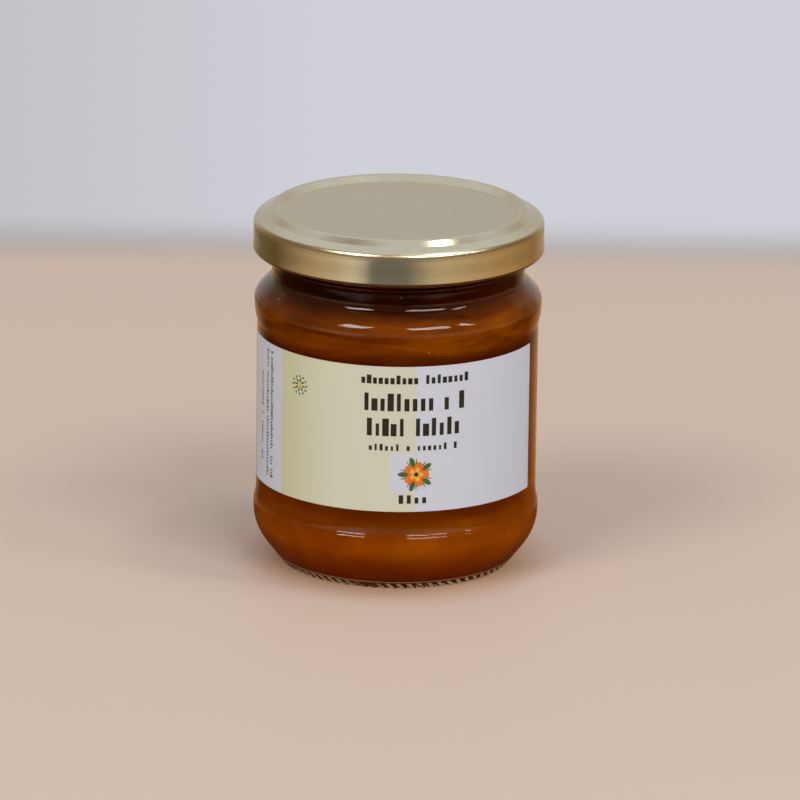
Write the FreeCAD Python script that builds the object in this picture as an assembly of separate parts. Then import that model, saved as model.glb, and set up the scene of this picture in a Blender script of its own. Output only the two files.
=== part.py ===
import FreeCAD, Part
import math
import os

# A small jar of jam, closed with a twist-off lid.
#
# Four pieces, each one solid in its own node:
#   glass_jar  pressed and blown glass: foot ring, round heel, label panel between two bands,
#              sloped shoulder, neck with a bead, and a finish with four thread starts
#   jam        fills the glass from its floor to a level just under the rim
#   lid        tinplate: flat panel, raised ring, sloped edge, plain skirt, rolled curl,
#              four lugs bent in under the threads, sealing compound in the ring
#   label      one paper strip wrapped round the panel, open at the back
#
# The frame: millimetres, +Z up, the jar's axis is Z, and Z = 0 is the face it stands on.
# The label's front faces -Y. Bearings are in degrees from -Y, positive towards +X.

# ---- Closure: the size that the finish, the neck and the lid all follow --------------------
FINISH_R = 24.6          # finish, from the bead up to the rim, under the threads
RIM_W = 2.2              # width of the rim, from the mouth to the finish
NECK_IN = 0.1            # how far the neck is set in from the finish

# ---- Body of the glass: radii ----------------------------------------------------------------
PANEL_R = 27.27          # label panel
HEEL_OUT = 0.47          # how far the lower band stands out of the panel
SHOULDER_OUT = 0.57      # how far the upper band stands out of the panel
HEEL_RUN = 5.44          # from the lower band in to the ring that the jar stands on
FOOT_W = 2.1             # width of that ring

# ---- Glass: heights, each one added to the one before it -------------------------------------
HEEL_RISE = 7.1          # foot to the corner of the heel
HEEL_BAND = 4.2          # height of the lower band, up to where it starts to lean in
HEEL_STEP = 1.75         # slope from its moulded edges in to the panel
LABEL_LOW_GAP = 2.88     # free panel under the label
LABEL_H = 28.95          # label
LABEL_TOP_GAP = 1.85     # free panel over the label
SHOULDER_STEP = 1.8      # slope from the panel out to the upper band
SHOULDER_BAND = 3.54     # height of the upper band
SHOULDER_SLOPE = 3.46    # cone of the shoulder
NECK_FREE = 2.95         # shoulder to the bead
BEAD_H = 1.15            # bead, with both its slopes
BEAD_DROP = 1.1          # bead to the lid's lower edge

# ---- Glass: walls and roundings --------------------------------------------------------------
WALL = 3.0               # body
FLOOR = 2.75             # base, over the foot ring
PUSH_UP = 1.2            # how far the middle of the base is raised
PUSH_STEP = 1.3          # how far in from the foot ring it is fully raised
FLOOR_CROWN = 0.8        # how far the middle of the floor stands above its edge
CROWN_IN = 10.0          # how far in from the floor's corner its rise to there begins
BEAD_OUT = 0.45          # how far the bead stands out from the neck
BEAD_SLOPE = 0.38        # height of each of its slopes
PUSH_ROUND = 0.65
FOOT_ROUND = 1.0
HEEL_ROUND = 10.0
HEEL_IN_ROUND = 5.0      # inside corner between floor and wall
INSIDE_ROUND = 2.0       # least rounding anywhere inside
CROWN_ROUND = 20.0       # where the floor's crown meets its flat edge
BAND_ROUND = 3.0         # where the lower band leans, and where it meets the panel
BAND_EDGE_ROUND = 0.08   # its moulded edges
SHOULDER_LOW_ROUND = 10.5
SHOULDER_EDGE_ROUND = 0.5
SHOULDER_ROUND = 2.65
NECK_ROUND = 1.5
BEAD_ROUND = 0.25
RIM_ROUND = 0.8

# Two moulded edges run round the top of the lower band. Each run: how far in, how far up.
BAND_EDGES = [
    (0.04, 0.55),
    (0.07, 0.12),
    (0.03, 0.45),
    (0.09, 0.15),
]

# ---- Threads on the glass -----------------------------------------------------------------
STARTS = 4               # thread starts, and lugs on the lid
THREAD_OUT = 1.55        # how far a thread stands out of the finish
THREAD_H = 1.75          # height of its root
THREAD_CREST = 0.35      # height of its flat crest, and of the bevel under it
THREAD_SPAN = 68.0       # degrees that each start covers
THREAD_LEVEL = 22.0      # degrees of its low end that run level, where the lug rests
THREAD_CLIMB = 1.9       # rise from there to its open end
THREAD_FADE = 6.0        # degrees over which each end fades into the wall
THREAD_END = 0.15        # share of its height left at the very end
THREAD_STATIONS = 11     # sections from end to end, less one
THREAD_ROOT = 0.4        # how far its section is sunk into the wall, so that the two fuse

# ---- Lid ----------------------------------------------------------------------------------
SHEET = 0.22             # tinplate with its lacquer
LID_H = 8.55             # overall height
RING_UP = 1.35           # top of the raised ring above the glass rim
PANEL_UP = 0.30          # top of the flat panel above the glass rim
EDGE_UP = 0.22           # foot of the raised ring, outside, above the glass rim
RING_IN = 0.2            # the ring's inner foot, inside the bore
RING_SLOPE = 1.4         # width of its inner slope
RING_TOP = 1.4           # width of its top
RING_OUT = 0.95          # its outer foot, outside the finish
EDGE_DROP = 1.06         # fall of the sloped edge out to the skirt
CURL_GAP = 0.61          # clearance between the threads and the curl
CURL_D = 1.44            # diameter of the rolled curl
CURL_PROUD = 0.1         # how far the curl stands out of the skirt
CURL_TAIL = 0.74         # length of the curl's tail, back towards the skirt
SKIRT_FLARE = 1.9        # height over which the skirt meets the curl
RING_ROUND = 0.85
PANEL_ROUND = 0.6
EDGE_ROUND = 0.4
TOP_ROUND = 1.3
CURL_ROUND = 0.7
LUG_W = 14.0             # degrees
LUG_T = 1.05             # thickness
LUG_LIFT = 0.2           # lug's underside above the lid's lower edge
LUG_IN = 1.0             # how far a lug reaches in under a thread
LUG_ROUND = 0.35
LUG_ROOT = 0.12          # how far a lug runs into the curl's metal
LUG_AT = 34.5            # bearing of the first lug

# ---- Jam and label ------------------------------------------------------------------------
HEAD_SPACE = 3.8         # rim down to the jam
LABEL_T = 0.11           # paper and its gum
LABEL_FROM = -81.7       # bearing of the left end
LABEL_TO = 68.9          # bearing of the right end

# ---- Levels and radii that follow from them ---------------------------------------------------
HEEL_Z = HEEL_RISE
HEEL_TOP_Z = HEEL_Z + HEEL_BAND
PANEL_LOW_Z = HEEL_TOP_Z + sum(rise for drop, rise in BAND_EDGES) + HEEL_STEP
LABEL_Z = PANEL_LOW_Z + LABEL_LOW_GAP
PANEL_TOP_Z = LABEL_Z + LABEL_H + LABEL_TOP_GAP
SHOULDER_LOW_Z = PANEL_TOP_Z + SHOULDER_STEP
SHOULDER_TOP_Z = SHOULDER_LOW_Z + SHOULDER_BAND
NECK_LOW_Z = SHOULDER_TOP_Z + SHOULDER_SLOPE
BEAD_LOW_Z = NECK_LOW_Z + NECK_FREE
BEAD_TOP_Z = BEAD_LOW_Z + BEAD_H
LID_LOW_Z = BEAD_TOP_Z + BEAD_DROP
RIM_Z = LID_LOW_Z + LID_H - RING_UP
JAM_Z = RIM_Z - HEAD_SPACE
LUG_TOP_Z = LID_LOW_Z + LUG_LIFT + LUG_T
THREAD_Z = LUG_TOP_Z + THREAD_H / 2
HEEL_R = PANEL_R + HEEL_OUT
SHOULDER_R = PANEL_R + SHOULDER_OUT
FOOT_R = HEEL_R - HEEL_RUN
NECK_R = FINISH_R - NECK_IN
BORE_R = FINISH_R - RIM_W
THREAD_R = FINISH_R + THREAD_OUT
CURL_IN_R = THREAD_R + CURL_GAP
CURL_R = CURL_IN_R + CURL_D
SKIRT_R = CURL_R - CURL_PROUD
LUG_R = THREAD_R - LUG_IN

TURN = 360.0
AXIS = FreeCAD.Vector(0, 0, 1)
CENTRE = FreeCAD.Vector(0, 0, 0)


# ---- Outlines: lists of corners (radius, height, rounding) in the half plane X, Z ----------
def rounded(corners):
    """A closed wire through the corners: straight runs joined by tangent arcs."""
    points = [FreeCAD.Vector(r, 0, z) for r, z, rounding in corners]
    runs = []
    arcs = []
    for i, (r, z, rounding) in enumerate(corners):
        here = points[i]
        back = (points[i - 1] - here).normalize()
        ahead = (points[(i + 1) % len(points)] - here).normalize()
        if rounding == 0:
            runs.append((here, here))
            arcs.append(None)
            continue
        half = back.getAngle(ahead) / 2
        reach = rounding / math.tan(half)
        start = here + back * reach
        end = here + ahead * reach
        bisector = (back + ahead).normalize()
        middle = here + bisector * (rounding / math.sin(half) - rounding)
        runs.append((start, end))
        arcs.append(Part.Arc(start, middle, end).toShape())
    edges = []
    for i, arc in enumerate(arcs):
        if arc is not None:
            edges.append(arc)
        leave = runs[i][1]
        arrive = runs[(i + 1) % len(runs)][0]
        edges.append(Part.LineSegment(leave, arrive).toShape())
    return Part.Wire(edges)


def turned(corners, start=0.0, sweep=TURN):
    """The solid that a closed outline makes when it is turned about the jar's axis."""
    face = Part.Face(rounded(corners))
    face.rotate(CENTRE, AXIS, start)
    return face.revolve(CENTRE, AXIS, sweep)


def parallel(corners, gaps, least):
    """The outline moved to its left, each run by its own gap, with its roundings concentric."""
    moved = []
    for i in range(len(corners) - 1):
        a = FreeCAD.Vector(corners[i][0], corners[i][1], 0)
        b = FreeCAD.Vector(corners[i + 1][0], corners[i + 1][1], 0)
        along = (b - a).normalize()
        left = FreeCAD.Vector(-along.y, along.x, 0)
        moved.append((a + left * gaps[i], along))
    first = corners[0]
    last = corners[-1]
    result = [(moved[0][0].x, moved[0][0].y, first[2])]
    for i in range(1, len(moved)):
        (p, u), (q, v) = moved[i - 1], moved[i]
        cross = u.x * v.y - u.y * v.x
        t = ((q.x - p.x) * v.y - (q.y - p.y) * v.x) / cross
        corner = p + u * t
        gap = (gaps[i - 1] + gaps[i]) / 2
        rounding = corners[i][2] - gap * math.copysign(1.0, cross)
        result.append((corner.x, corner.y, max(rounding, least)))
    end = FreeCAD.Vector(last[0], last[1], 0)
    left = FreeCAD.Vector(-moved[-1][1].y, moved[-1][1].x, 0)
    end = end + left * gaps[-1]
    result.append((end.x, end.y, last[2]))
    return result


def bearing(degrees):
    """The turn about Z from +X to a bearing, which is counted from -Y towards +X."""
    return degrees - TURN / 4


# ---- Glass --------------------------------------------------------------------------------
def body_outside():
    """The jar's outside from the middle of its foot plane up to the rim."""
    edges = []
    r = HEEL_R
    z = HEEL_TOP_Z
    for drop, rise in BAND_EDGES:
        r -= drop
        z += rise
        edges.append((r, z, BAND_EDGE_ROUND))
    heel = [
        (0.0, 0.0, 0.0),
        (FOOT_R, 0.0, FOOT_ROUND),
        (HEEL_R, HEEL_Z, HEEL_ROUND),
        (HEEL_R, HEEL_TOP_Z, BAND_ROUND),
    ]
    upper = [
        (PANEL_R, PANEL_LOW_Z, BAND_ROUND),
        (PANEL_R, PANEL_TOP_Z, SHOULDER_EDGE_ROUND),
        (SHOULDER_R, SHOULDER_LOW_Z, SHOULDER_LOW_ROUND),
        (SHOULDER_R, SHOULDER_TOP_Z, SHOULDER_ROUND),
        (NECK_R, NECK_LOW_Z, NECK_ROUND),
        (NECK_R, RIM_Z, 0.0),
    ]
    return heel + edges + upper


def body_inside(top_z):
    """The jar's inside, from the raised middle of its floor up the wall to a level.

    It runs parallel to the heel, the panel and the shoulder, and doesn't follow the bands.
    """
    heel_share = (PANEL_R - FOOT_R) / (HEEL_R - FOOT_R)
    shoulder_share = (PANEL_R - NECK_R) / (SHOULDER_R - NECK_R)
    outside = [
        (0.0, 0.0, 0.0),
        (FOOT_R, 0.0, HEEL_IN_ROUND),
        (PANEL_R, HEEL_Z * heel_share, HEEL_ROUND),
        (PANEL_R, NECK_LOW_Z - SHOULDER_SLOPE * shoulder_share, SHOULDER_ROUND),
        (NECK_R, NECK_LOW_Z, NECK_ROUND),
        (NECK_R, top_z, 0.0),
    ]
    gaps = [FLOOR, WALL, WALL, WALL, NECK_R - BORE_R]
    middle, floor_edge, *wall = parallel(outside, gaps, INSIDE_ROUND)
    crown_r = floor_edge[0] - CROWN_IN
    crown = [
        (0.0, FLOOR + FLOOR_CROWN, 0.0),
        (crown_r / 2, FLOOR + FLOOR_CROWN, CROWN_ROUND),
        (crown_r, FLOOR, CROWN_ROUND),
    ]
    return crown + [(floor_edge[0], floor_edge[1], HEEL_IN_ROUND)] + wall


def foot():
    """The underside: the ring that the jar stands on, and the raised middle."""
    ring_in = FOOT_R - FOOT_W
    return [
        (FOOT_R, 0.0, FOOT_ROUND),
        (ring_in, 0.0, PUSH_ROUND),
        (ring_in - PUSH_STEP, PUSH_UP, PUSH_ROUND),
        (0.0, PUSH_UP, 0.0),
    ]


def thread_section(turn, height, share):
    """One section of a thread: level below, where the lug bears, and sloped above."""
    out = FINISH_R + THREAD_OUT * share
    root = FINISH_R - THREAD_ROOT
    low = height - THREAD_H / 2
    top = height + THREAD_H / 2
    points = [
        (root, low),
        (out - THREAD_CREST * share, low),
        (out, low + THREAD_CREST),
        (out, low + THREAD_CREST * 2),
        (FINISH_R, top),
        (root, top),
    ]
    wire = Part.makePolygon([FreeCAD.Vector(r, 0, z) for r, z in points + points[:1]])
    wire.rotate(CENTRE, AXIS, turn)
    return wire


def thread(first_turn):
    """One thread start: level at its low end, then climbing to its open end."""
    sections = []
    for station in range(THREAD_STATIONS + 1):
        turn = THREAD_SPAN * station / THREAD_STATIONS
        from_end = min(turn, THREAD_SPAN - turn)
        share = min(1.0, THREAD_END + (1.0 - THREAD_END) * from_end / THREAD_FADE)
        climb = max(turn - THREAD_LEVEL, 0.0) / (THREAD_SPAN - THREAD_LEVEL)
        height = THREAD_Z + THREAD_CLIMB * climb
        sections.append(thread_section(first_turn + turn, height, share))
    return Part.makeLoft(sections, True, True)


def glass_jar():
    outside = body_outside()[2:-1]
    bead_r = NECK_R + BEAD_OUT
    finish = [
        (NECK_R, BEAD_LOW_Z, BEAD_ROUND),
        (bead_r, BEAD_LOW_Z + BEAD_SLOPE, BEAD_ROUND),
        (bead_r, BEAD_TOP_Z - BEAD_SLOPE, BEAD_ROUND),
        (FINISH_R, BEAD_TOP_Z, BEAD_ROUND),
        (FINISH_R, RIM_Z, RIM_ROUND),
        (BORE_R, RIM_Z, RIM_ROUND),
    ]
    inside = body_inside(RIM_Z)[:-1]
    outline = foot()[::-1] + outside + finish + inside[::-1]
    jar = turned(outline)
    lug_turn = bearing(LUG_AT)
    for start in range(STARTS):
        middle = lug_turn + start * TURN / STARTS
        jar = jar.fuse(thread(middle - THREAD_LEVEL / 2))
    return jar.removeSplitter()


def jam():
    return turned(body_inside(JAM_Z) + [(0.0, JAM_Z, 0.0)])


# ---- Lid ----------------------------------------------------------------------------------
def lid_outside():
    """The lid's outer face from its centre over the ring, down the skirt and round the curl."""
    ring_in = BORE_R - RING_IN
    ring_out = FINISH_R + RING_OUT
    curl_top = LID_LOW_Z + CURL_D
    return [
        (0.0, RIM_Z + PANEL_UP, 0.0),
        (ring_in, RIM_Z + PANEL_UP, PANEL_ROUND),
        (ring_in + RING_SLOPE, RIM_Z + RING_UP, RING_ROUND),
        (ring_in + RING_SLOPE + RING_TOP, RIM_Z + RING_UP, RING_ROUND),
        (ring_out, RIM_Z + EDGE_UP, EDGE_ROUND),
        (SKIRT_R, RIM_Z + EDGE_UP - EDGE_DROP, TOP_ROUND),
        (SKIRT_R, LID_LOW_Z + SKIRT_FLARE, CURL_D),
        (CURL_R, LID_LOW_Z + CURL_D / 2, CURL_D),
        (CURL_R, LID_LOW_Z, CURL_ROUND),
        (CURL_IN_R, LID_LOW_Z, CURL_ROUND),
        (CURL_IN_R, curl_top, CURL_ROUND),
        (CURL_IN_R + CURL_TAIL, curl_top, 0.0),
    ]


def lid_inside():
    """Its inner face, back from the curl's tail, with the ring filled flush to the glass rim."""
    outside = lid_outside()
    inner = parallel(outside, [-SHEET] * (len(outside) - 1), SHEET)
    ring_in = inner[1]
    ring_out = inner[4]
    compound = [
        (ring_out[0], min(RIM_Z, ring_out[1]), 0.0),
        (ring_in[0] + SHEET, RIM_Z, 0.0),
        (ring_in[0] - SHEET, ring_in[1], 0.0),
    ]
    return inner[:4:-1] + compound + [inner[0]]


def lug(turn):
    """One lug: the curl bent in under a thread's level end."""
    low = LID_LOW_Z + LUG_LIFT
    root = CURL_IN_R + LUG_ROOT
    outline = [
        (root, low, 0.0),
        (root, LUG_TOP_Z, 0.0),
        (LUG_R, LUG_TOP_Z, LUG_ROUND),
        (LUG_R, low, LUG_ROUND),
    ]
    return turned(outline, turn - LUG_W / 2, LUG_W)


def lid():
    shell = turned(lid_outside() + lid_inside())
    for start in range(STARTS):
        shell = shell.fuse(lug(bearing(LUG_AT) + start * TURN / STARTS))
    return shell.removeSplitter()


# ---- Label --------------------------------------------------------------------------------
def label():
    strip = [
        (PANEL_R, LABEL_Z, 0.0),
        (PANEL_R + LABEL_T, LABEL_Z, 0.0),
        (PANEL_R + LABEL_T, LABEL_Z + LABEL_H, 0.0),
        (PANEL_R, LABEL_Z + LABEL_H, 0.0),
    ]
    return turned(strip, bearing(LABEL_FROM), LABEL_TO - LABEL_FROM)


NODES = {
    "glass_jar": glass_jar,
    "jam": jam,
    "lid": lid,
    "label": label,
}

os.makedirs("parts", exist_ok=True)
for name, make in NODES.items():
    shape = make()
    solids = shape.Solids
    if len(solids) != 1 or not shape.isValid():
        raise RuntimeError(name + " is not one valid solid")
    solids[0].exportStep("parts/" + name + ".step")
    print(name, "volume", round(solids[0].Volume / 1000, 2), "ml, top", round(shape.BoundBox.ZMax, 2))
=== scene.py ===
# %% [markdown]
# # A small jar of apricot jam
# A glass jar about 70 mm tall stands on a table. Jam fills it up to its neck, a gold lacquered
# twist-off lid closes it, and one paper label is wrapped round its waist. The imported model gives
# the pieces and their places. This lesson dresses them: smooth glass with a knurled foot, jam with
# pulp and vanilla seeds, lacquered tinplate, and printed paper.

# %% Load the frame
import math

import bmesh
import bpy
from mathutils import Matrix, Vector


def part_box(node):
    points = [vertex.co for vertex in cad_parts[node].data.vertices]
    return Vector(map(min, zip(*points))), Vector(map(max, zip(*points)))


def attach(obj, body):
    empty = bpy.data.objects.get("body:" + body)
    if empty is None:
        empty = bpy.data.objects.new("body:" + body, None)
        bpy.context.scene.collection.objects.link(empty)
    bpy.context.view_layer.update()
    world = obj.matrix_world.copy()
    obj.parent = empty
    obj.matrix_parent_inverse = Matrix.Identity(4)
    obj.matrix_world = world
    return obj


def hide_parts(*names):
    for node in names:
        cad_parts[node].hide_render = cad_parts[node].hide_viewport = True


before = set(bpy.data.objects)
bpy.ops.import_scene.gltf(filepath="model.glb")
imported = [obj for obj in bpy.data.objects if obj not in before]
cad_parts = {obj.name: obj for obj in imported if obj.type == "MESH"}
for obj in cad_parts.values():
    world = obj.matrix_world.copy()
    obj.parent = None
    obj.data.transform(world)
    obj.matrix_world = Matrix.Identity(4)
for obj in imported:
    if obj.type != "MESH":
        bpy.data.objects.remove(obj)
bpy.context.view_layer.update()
MM = 0.001
JAR_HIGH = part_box("glass_jar")[1]
JAM_LOW, JAM_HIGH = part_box("jam")
LID_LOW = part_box("lid")[0]
LABEL_LOW, LABEL_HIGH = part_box("label")
for node in sorted(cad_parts):
    low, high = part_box(node)
    print(node, "from z", round(low.z / MM, 2), "to", round(high.z / MM, 2), "mm")

# %% [markdown]
# ## Camera
# A long lens a metre and a half away looks down at the jar by about seventeen degrees. It comes
# first, because every later choice is judged through it. The matrix is written from the three
# directions of the camera, which is easier to check than three Euler angles.

# %% Camera
DISTANCE = 1.570
HEIGHT = 0.4995
PITCH = math.radians(16.60)
YAW = math.radians(0.023)
ROLL = math.radians(0.766)
LENS = 379.0


def new_object(name, data):
    """An object that holds this data, linked into the scene."""
    made = bpy.data.objects.new(name, data)
    bpy.context.scene.collection.objects.link(made)
    return made


ahead = Vector((math.sin(YAW) * math.cos(PITCH), math.cos(YAW) * math.cos(PITCH), -math.sin(PITCH)))
level = ahead.cross(Vector((0, 0, 1))).normalized()
above = level.cross(ahead)
side = level * math.cos(ROLL) + above * math.sin(ROLL)
up = above * math.cos(ROLL) - level * math.sin(ROLL)
camera_data = bpy.data.cameras.new("camera")
camera_data.lens = LENS
camera_data.sensor_width = 36.0
camera_data.clip_start = 0.05
camera_data.clip_end = 50.0
camera = new_object("camera", camera_data)
turned_to = Matrix((side, up, -ahead)).transposed().to_4x4()
camera.matrix_world = Matrix.Translation((0, -DISTANCE, HEIGHT)) @ turned_to
bpy.context.scene.camera = camera
bpy.context.scene.view_settings.view_transform = "Standard"
print("camera at", [round(v, 3) for v in camera.location], "lens", LENS, "mm")

# %% [markdown]
# ## Helpers for nodes
# Every finish and every repeated shape here is a small node tree. A few helpers keep them short.
# Each adds one node or two, and gives its inputs either plain values or links, whichever it is
# handed. A socket knows which tree it is in, so only the first nodes of a tree have to be told.


# %% Node helpers
def feed(socket, value):
    """Gives an input a plain value, or a link where the value is another node's output."""
    if isinstance(value, bpy.types.NodeSocket):
        socket.id_data.links.new(value, socket)
    else:
        socket.default_value = value


def tree_of(values):
    """The node tree that the sockets among these values are in."""
    return next(value.id_data for value in values if isinstance(value, bpy.types.NodeSocket))


def add_node(tree, kind, inputs=None, **settings):
    """A new node with settings for its own options, and inputs given by name or by place."""
    node = tree.nodes.new(kind)
    for key, value in settings.items():
        setattr(node, key, value)
    for key, value in (inputs or {}).items():
        feed(node.inputs[key], value)
    return node


def calc(operation, *values):
    """One Math node on sockets or numbers."""
    return add_node(tree_of(values), "ShaderNodeMath", dict(enumerate(values)),
                    operation=operation).outputs[0]


def product(first, *others):
    """Sockets or numbers multiplied together."""
    for other in others:
        first = calc("MULTIPLY", first, other)
    return first


def between(value, low, high):
    """1 where value lies between low and high, else 0."""
    return product(calc("GREATER_THAN", value, low), calc("LESS_THAN", value, high))


def share(value, start, end, most=1.0, least=0.0, ease="SMOOTHSTEP"):
    """How far a value has come from start to end, as a number from least to most."""
    return add_node(value.id_data, "ShaderNodeMapRange", {
        "Value": value, "From Min": start, "From Max": end, "To Min": least, "To Max": most},
        interpolation_type=ease).outputs["Result"]


def split(vector):
    """The X, Y and Z of a vector."""
    return tuple(add_node(vector.id_data, "ShaderNodeSeparateXYZ", {0: vector}).outputs)


def combine(x=0.0, y=0.0, z=0.0):
    """A vector from three sockets or numbers."""
    return add_node(tree_of((x, y, z)), "ShaderNodeCombineXYZ", {"X": x, "Y": y, "Z": z}).outputs[0]


def length(vector):
    """The length of a vector."""
    return add_node(vector.id_data, "ShaderNodeVectorMath", {0: vector},
                    operation="LENGTH").outputs["Value"]


# %% [markdown]
# ## Helpers for materials
# A finish starts from a Principled shader. Its colour usually wanders between a few tones by a
# noise on Object coordinates, which stay with the piece from every side, and a bump gives the
# surface its feel. These helpers make those steps.


# %% Material helpers
def new_material(name, **values):
    """A Principled material. Values are given by socket name, with _ for a space."""
    material = bpy.data.materials.new(name)
    material.use_nodes = True
    shader = material.node_tree.nodes["Principled BSDF"]
    for key, value in values.items():
        shader.inputs[key.replace("_", " ")].default_value = value
    return material, material.node_tree, shader


def srgb(red, green, blue):
    """A screen colour, from 0 to 255, as the linear colour that a shader wants."""
    def linear(value):
        value = value / 255
        return value / 12.92 if value <= 0.04045 else ((value + 0.055) / 1.055) ** 2.4
    return (linear(red), linear(green), linear(blue), 1.0)


def ramp(factor, stops):
    """The colour at factor on a ramp through (place, colour) stops."""
    node = add_node(factor.id_data, "ShaderNodeValToRGB", {"Fac": factor})
    band = node.color_ramp
    while len(band.elements) < len(stops):
        band.elements.new(1.0)
    for element, (place, colour) in zip(band.elements, stops):
        element.position = place
        element.color = colour
    return node.outputs[0]


def mix_colour(factor, low, high, blend="MIX"):
    """The colour between low and high, each a colour or a socket."""
    return add_node(tree_of((factor, low, high)), "ShaderNodeMix", {0: factor, 6: low, 7: high},
                    data_type="RGBA", blend_type=blend).outputs[2]


def tinted(factor, colour, tone):
    """A colour multiplied by a tone, as much as factor says."""
    return mix_colour(factor, colour, mix_colour(1.0, colour, tone, "MULTIPLY"))


def mix_shader(factor, low, high):
    """The shader between low and high."""
    return add_node(low.id_data, "ShaderNodeMixShader", {0: factor, 1: low, 2: high}).outputs[0]


def emit(tree, kind, colour, strength=1.0):
    """A shader of this kind that gives off a colour: Emission, or Background in a world."""
    return add_node(tree, kind, {"Color": colour, "Strength": strength}).outputs[0]


def object_spot(tree):
    """The place on the piece, in metres."""
    return add_node(tree, "ShaderNodeTexCoord").outputs["Object"]


def stretched(spot, scale):
    """A place with its pattern squeezed by scale along X, Y and Z."""
    return add_node(spot.id_data, "ShaderNodeMapping", {"Vector": spot, "Scale": scale}).outputs[0]


def noise(spot, scale, detail=2.0, roughness=0.5, distortion=0.0):
    """A noise from 0 to 1, mostly near the middle."""
    return add_node(spot.id_data, "ShaderNodeTexNoise", {
        "Vector": spot, "Scale": scale, "Detail": detail, "Roughness": roughness,
        "Distortion": distortion}).outputs[0]


def add_bump(shader, height, strength, distance):
    """Relief on a shader, from a pattern of heights."""
    relief = add_node(height.id_data, "ShaderNodeBump", {
        "Height": height, "Strength": strength, "Distance": distance})
    feed(shader.inputs["Normal"], relief.outputs[0])


def mottled(name, scale, stops, detail=2.0, **values):
    """A material whose colour wanders through these stops by one fine noise."""
    material, tree, shader = new_material(name, **values)
    pattern = noise(object_spot(tree), scale, detail)
    feed(shader.inputs["Base Color"], ramp(pattern, stops))
    return material


# %% [markdown]
# ## Helper for turned pieces
# Glass, jam and lid are all bodies of revolution: one outline turned about the jar's axis. The
# outline is a list of corners with roundings, as a draughtsman would give it. A Screw modifier or
# Spin could turn it too, but writing the rings directly gives clean poles, a closed seam and an
# even grid of faces, which glass needs.


# %% Outlines
ARC_STEP = math.radians(9)
FOOT_STEP = 0.4
FOOT_IN_R = 15.0
SMALLEST_STEP = 1e-4


def rounded(corners, step=ARC_STEP):
    """Points (radius, height) along an outline of corners (radius, height, rounding), in mm."""
    points = []
    for i, (r, z, rounding) in enumerate(corners):
        here = Vector((r, z))
        if rounding == 0 or i in (0, len(corners) - 1):
            points.append(here)
            continue
        back = (Vector(corners[i - 1][:2]) - here).normalized()
        on = (Vector(corners[i + 1][:2]) - here).normalized()
        half = back.angle(on) / 2
        centre = here + (back + on).normalized() * (rounding / math.sin(half))
        start = here + back * (rounding / math.tan(half)) - centre
        turn = math.pi - 2 * half
        sign = math.copysign(1.0, back.x * on.y - back.y * on.x)
        count = max(2, math.ceil(turn / step))
        for k in range(count + 1):
            points.append(centre + Matrix.Rotation(-sign * turn * k / count, 2) @ start)
    clean = [points[0]]
    for point in points[1:]:
        if (point - clean[-1]).length > SMALLEST_STEP:
            clean.append(point)
    return clean


def divided(points, longest, fine_below=-1.0):
    """The same outline with its long runs divided, more finely on the foot below a level."""
    result = [points[0]]
    for a, b in zip(points, points[1:]):
        on_foot = max(a.y, b.y) <= fine_below and min(a.x, b.x) > FOOT_IN_R
        count = max(1, math.ceil((b - a).length / (FOOT_STEP if on_foot else longest)))
        result += [a.lerp(b, k / count) for k in range(1, count + 1)]
    return result


# %% [markdown]
# ## Turning an outline
# A ring of points is made at each step of the outline, or a single point where the outline meets
# the axis, and faces join the rings. Shading is smooth, except where the surface turns sharply.


# %% Turned pieces
SHARP = math.radians(35)


def finish_mesh(mesh):
    """Normals outwards, smooth shading, and sharp edges where the surface turns sharply."""
    work = bmesh.new()
    work.from_mesh(mesh)
    bmesh.ops.remove_doubles(work, verts=work.verts, dist=1e-8)
    bmesh.ops.recalc_face_normals(work, faces=work.faces)
    work.to_mesh(mesh)
    work.free()
    mesh.shade_smooth()
    mesh.set_sharp_from_angle(angle=SHARP)


def turned(name, points, around):
    """A mesh object: an outline from axis to axis, turned in so many steps, in metres."""
    mesh = bpy.data.meshes.new(name)
    verts = []
    rings = []
    for r, z in points:
        if r < 1e-6:
            rings.append([len(verts)])
            verts.append((0, 0, z * MM))
            continue
        rings.append(list(range(len(verts), len(verts) + around)))
        for k in range(around):
            angle = math.tau * k / around
            verts.append((r * MM * math.cos(angle), r * MM * math.sin(angle), z * MM))
    faces = []
    for low, high in zip(rings, rings[1:]):
        for k in range(around):
            n = (k + 1) % around
            quad = (low[k % len(low)], low[n % len(low)], high[n % len(high)], high[k % len(high)])
            faces.append(list(dict.fromkeys(quad)))
    mesh.from_pydata(verts, [], faces)
    mesh.validate()
    finish_mesh(mesh)
    print(name, "has", len(mesh.polygons), "faces")
    return new_object(name, mesh)


# %% [markdown]
# ## The glass
# Pressed and blown glass with a thick wall. Its outside has a round heel, a lower band with two
# moulded edges, the label panel, an upper band, the sloped shoulder and the neck with its bead.
# The inside is plainer, because air shaped it. One closed outline goes from the raised middle of
# the base round the outside, over the rim and down the inside, so light meets two true surfaces.
# Two extra points on the neck keep its long straight run shaded as upright.

# %% Glass outline
RIM_Z = JAR_HIGH.z / MM
PANEL_R = 27.27
HEEL_R = 27.74
SHOULDER_R = 27.84
NECK_R = 24.5
BEAD_R = NECK_R + 0.45
FINISH_R = 24.6
BORE_R = 22.4
FOOT_R = 22.3
WALL_R = PANEL_R - 3.0
FLOOR_Z = JAM_LOW.z / MM
FLOOR_TOP_Z = FLOOR_Z + 0.8
HEEL_Z = 7.1
FOOT_TOP = 2.4
JAR_STEPS = 504


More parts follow.
